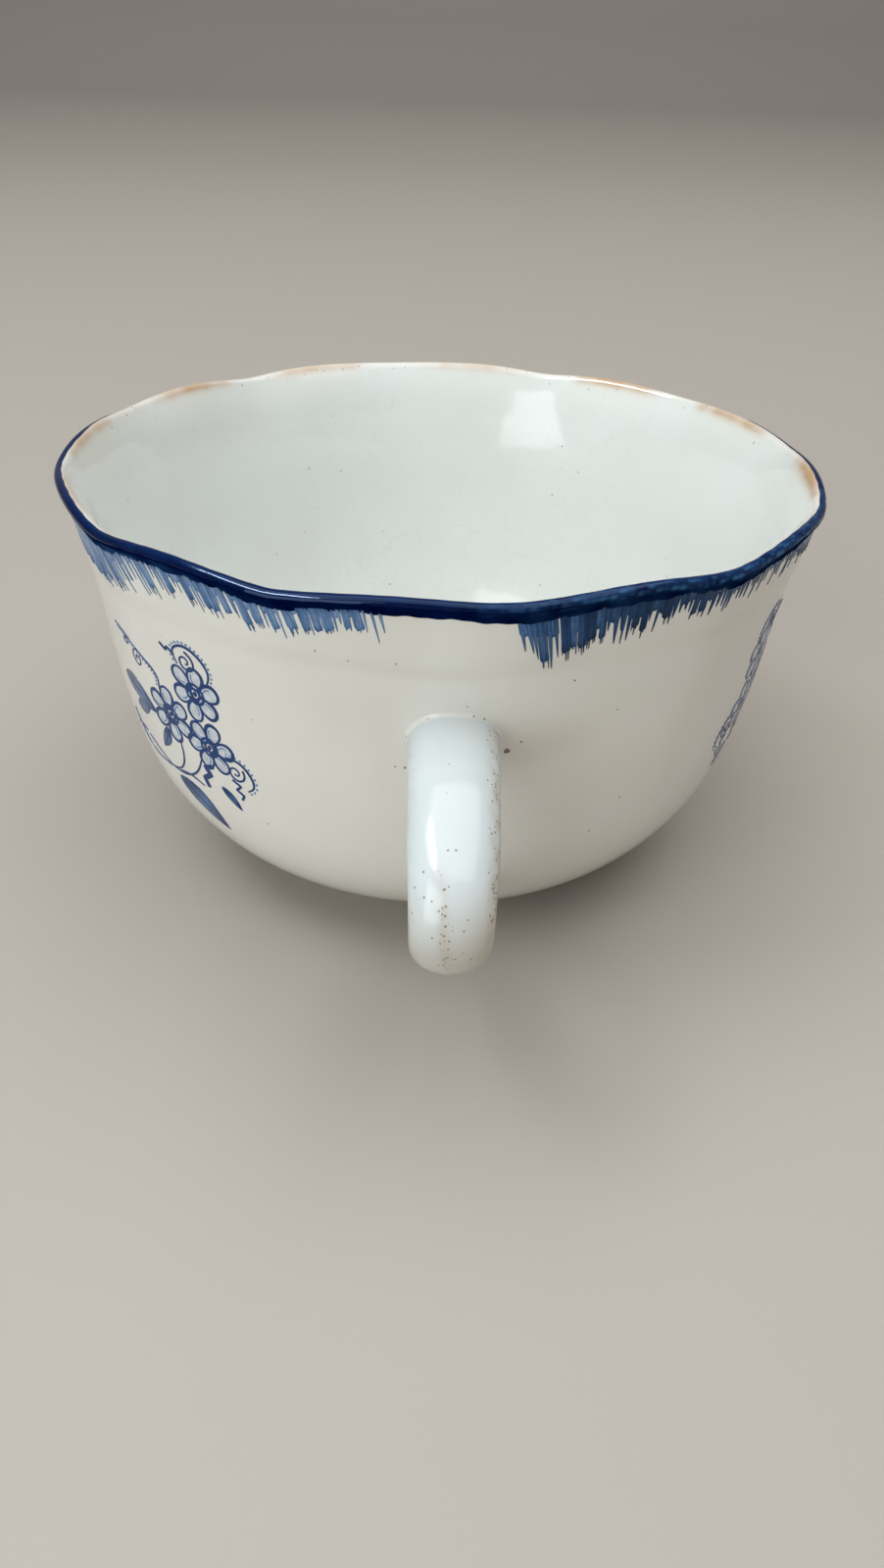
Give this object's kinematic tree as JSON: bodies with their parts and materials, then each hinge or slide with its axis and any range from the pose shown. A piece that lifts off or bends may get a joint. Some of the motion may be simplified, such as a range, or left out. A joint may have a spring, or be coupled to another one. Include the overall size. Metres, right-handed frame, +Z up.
{
  "type": "shaving mug",
  "caption": "Wide glazed ceramic shaving mug with a softly scalloped painted lip, brushed border, printed floral sprays, a foot ring and a loop handle",
  "frame": {"origin": "on the table, under the middle of the mug's box, handle included", "axes": "+Z up, -Y out along the handle, +X to the right when the handle faces the viewer"},
  "size_m": [0.114, 0.1384, 0.064],
  "materials": {
    "cream_glaze": "glossy cream glaze, faintly crazed and stained near the lip",
    "bare_clay": "unglazed clay, matt and rubbed where it stands",
    "handle_glaze": "glossy cool white glaze with small dark specks",
    "slip_glaze": "glazed clay slip, slightly darker in the crease",
    "cobalt_lip": "deep cobalt paint under a glossy glaze",
    "cobalt_wash": "thin brushed cobalt strokes under a glossy glaze",
    "cobalt_print": "printed cobalt under a glossy glaze"
  },
  "bodies": {
    "root": {"mug_body": "cream_glaze", "foot_ring": "bare_clay", "handle": "handle_glaze", "upper_slip_joint": "slip_glaze", "lower_slip_joint": "slip_glaze", "painted_lip": "cobalt_lip", "feather_border": "cobalt_wash", "left_print": "cobalt_print", "right_print": "cobalt_print", "back_print": "cobalt_print"}
  },
  "joints": []
}
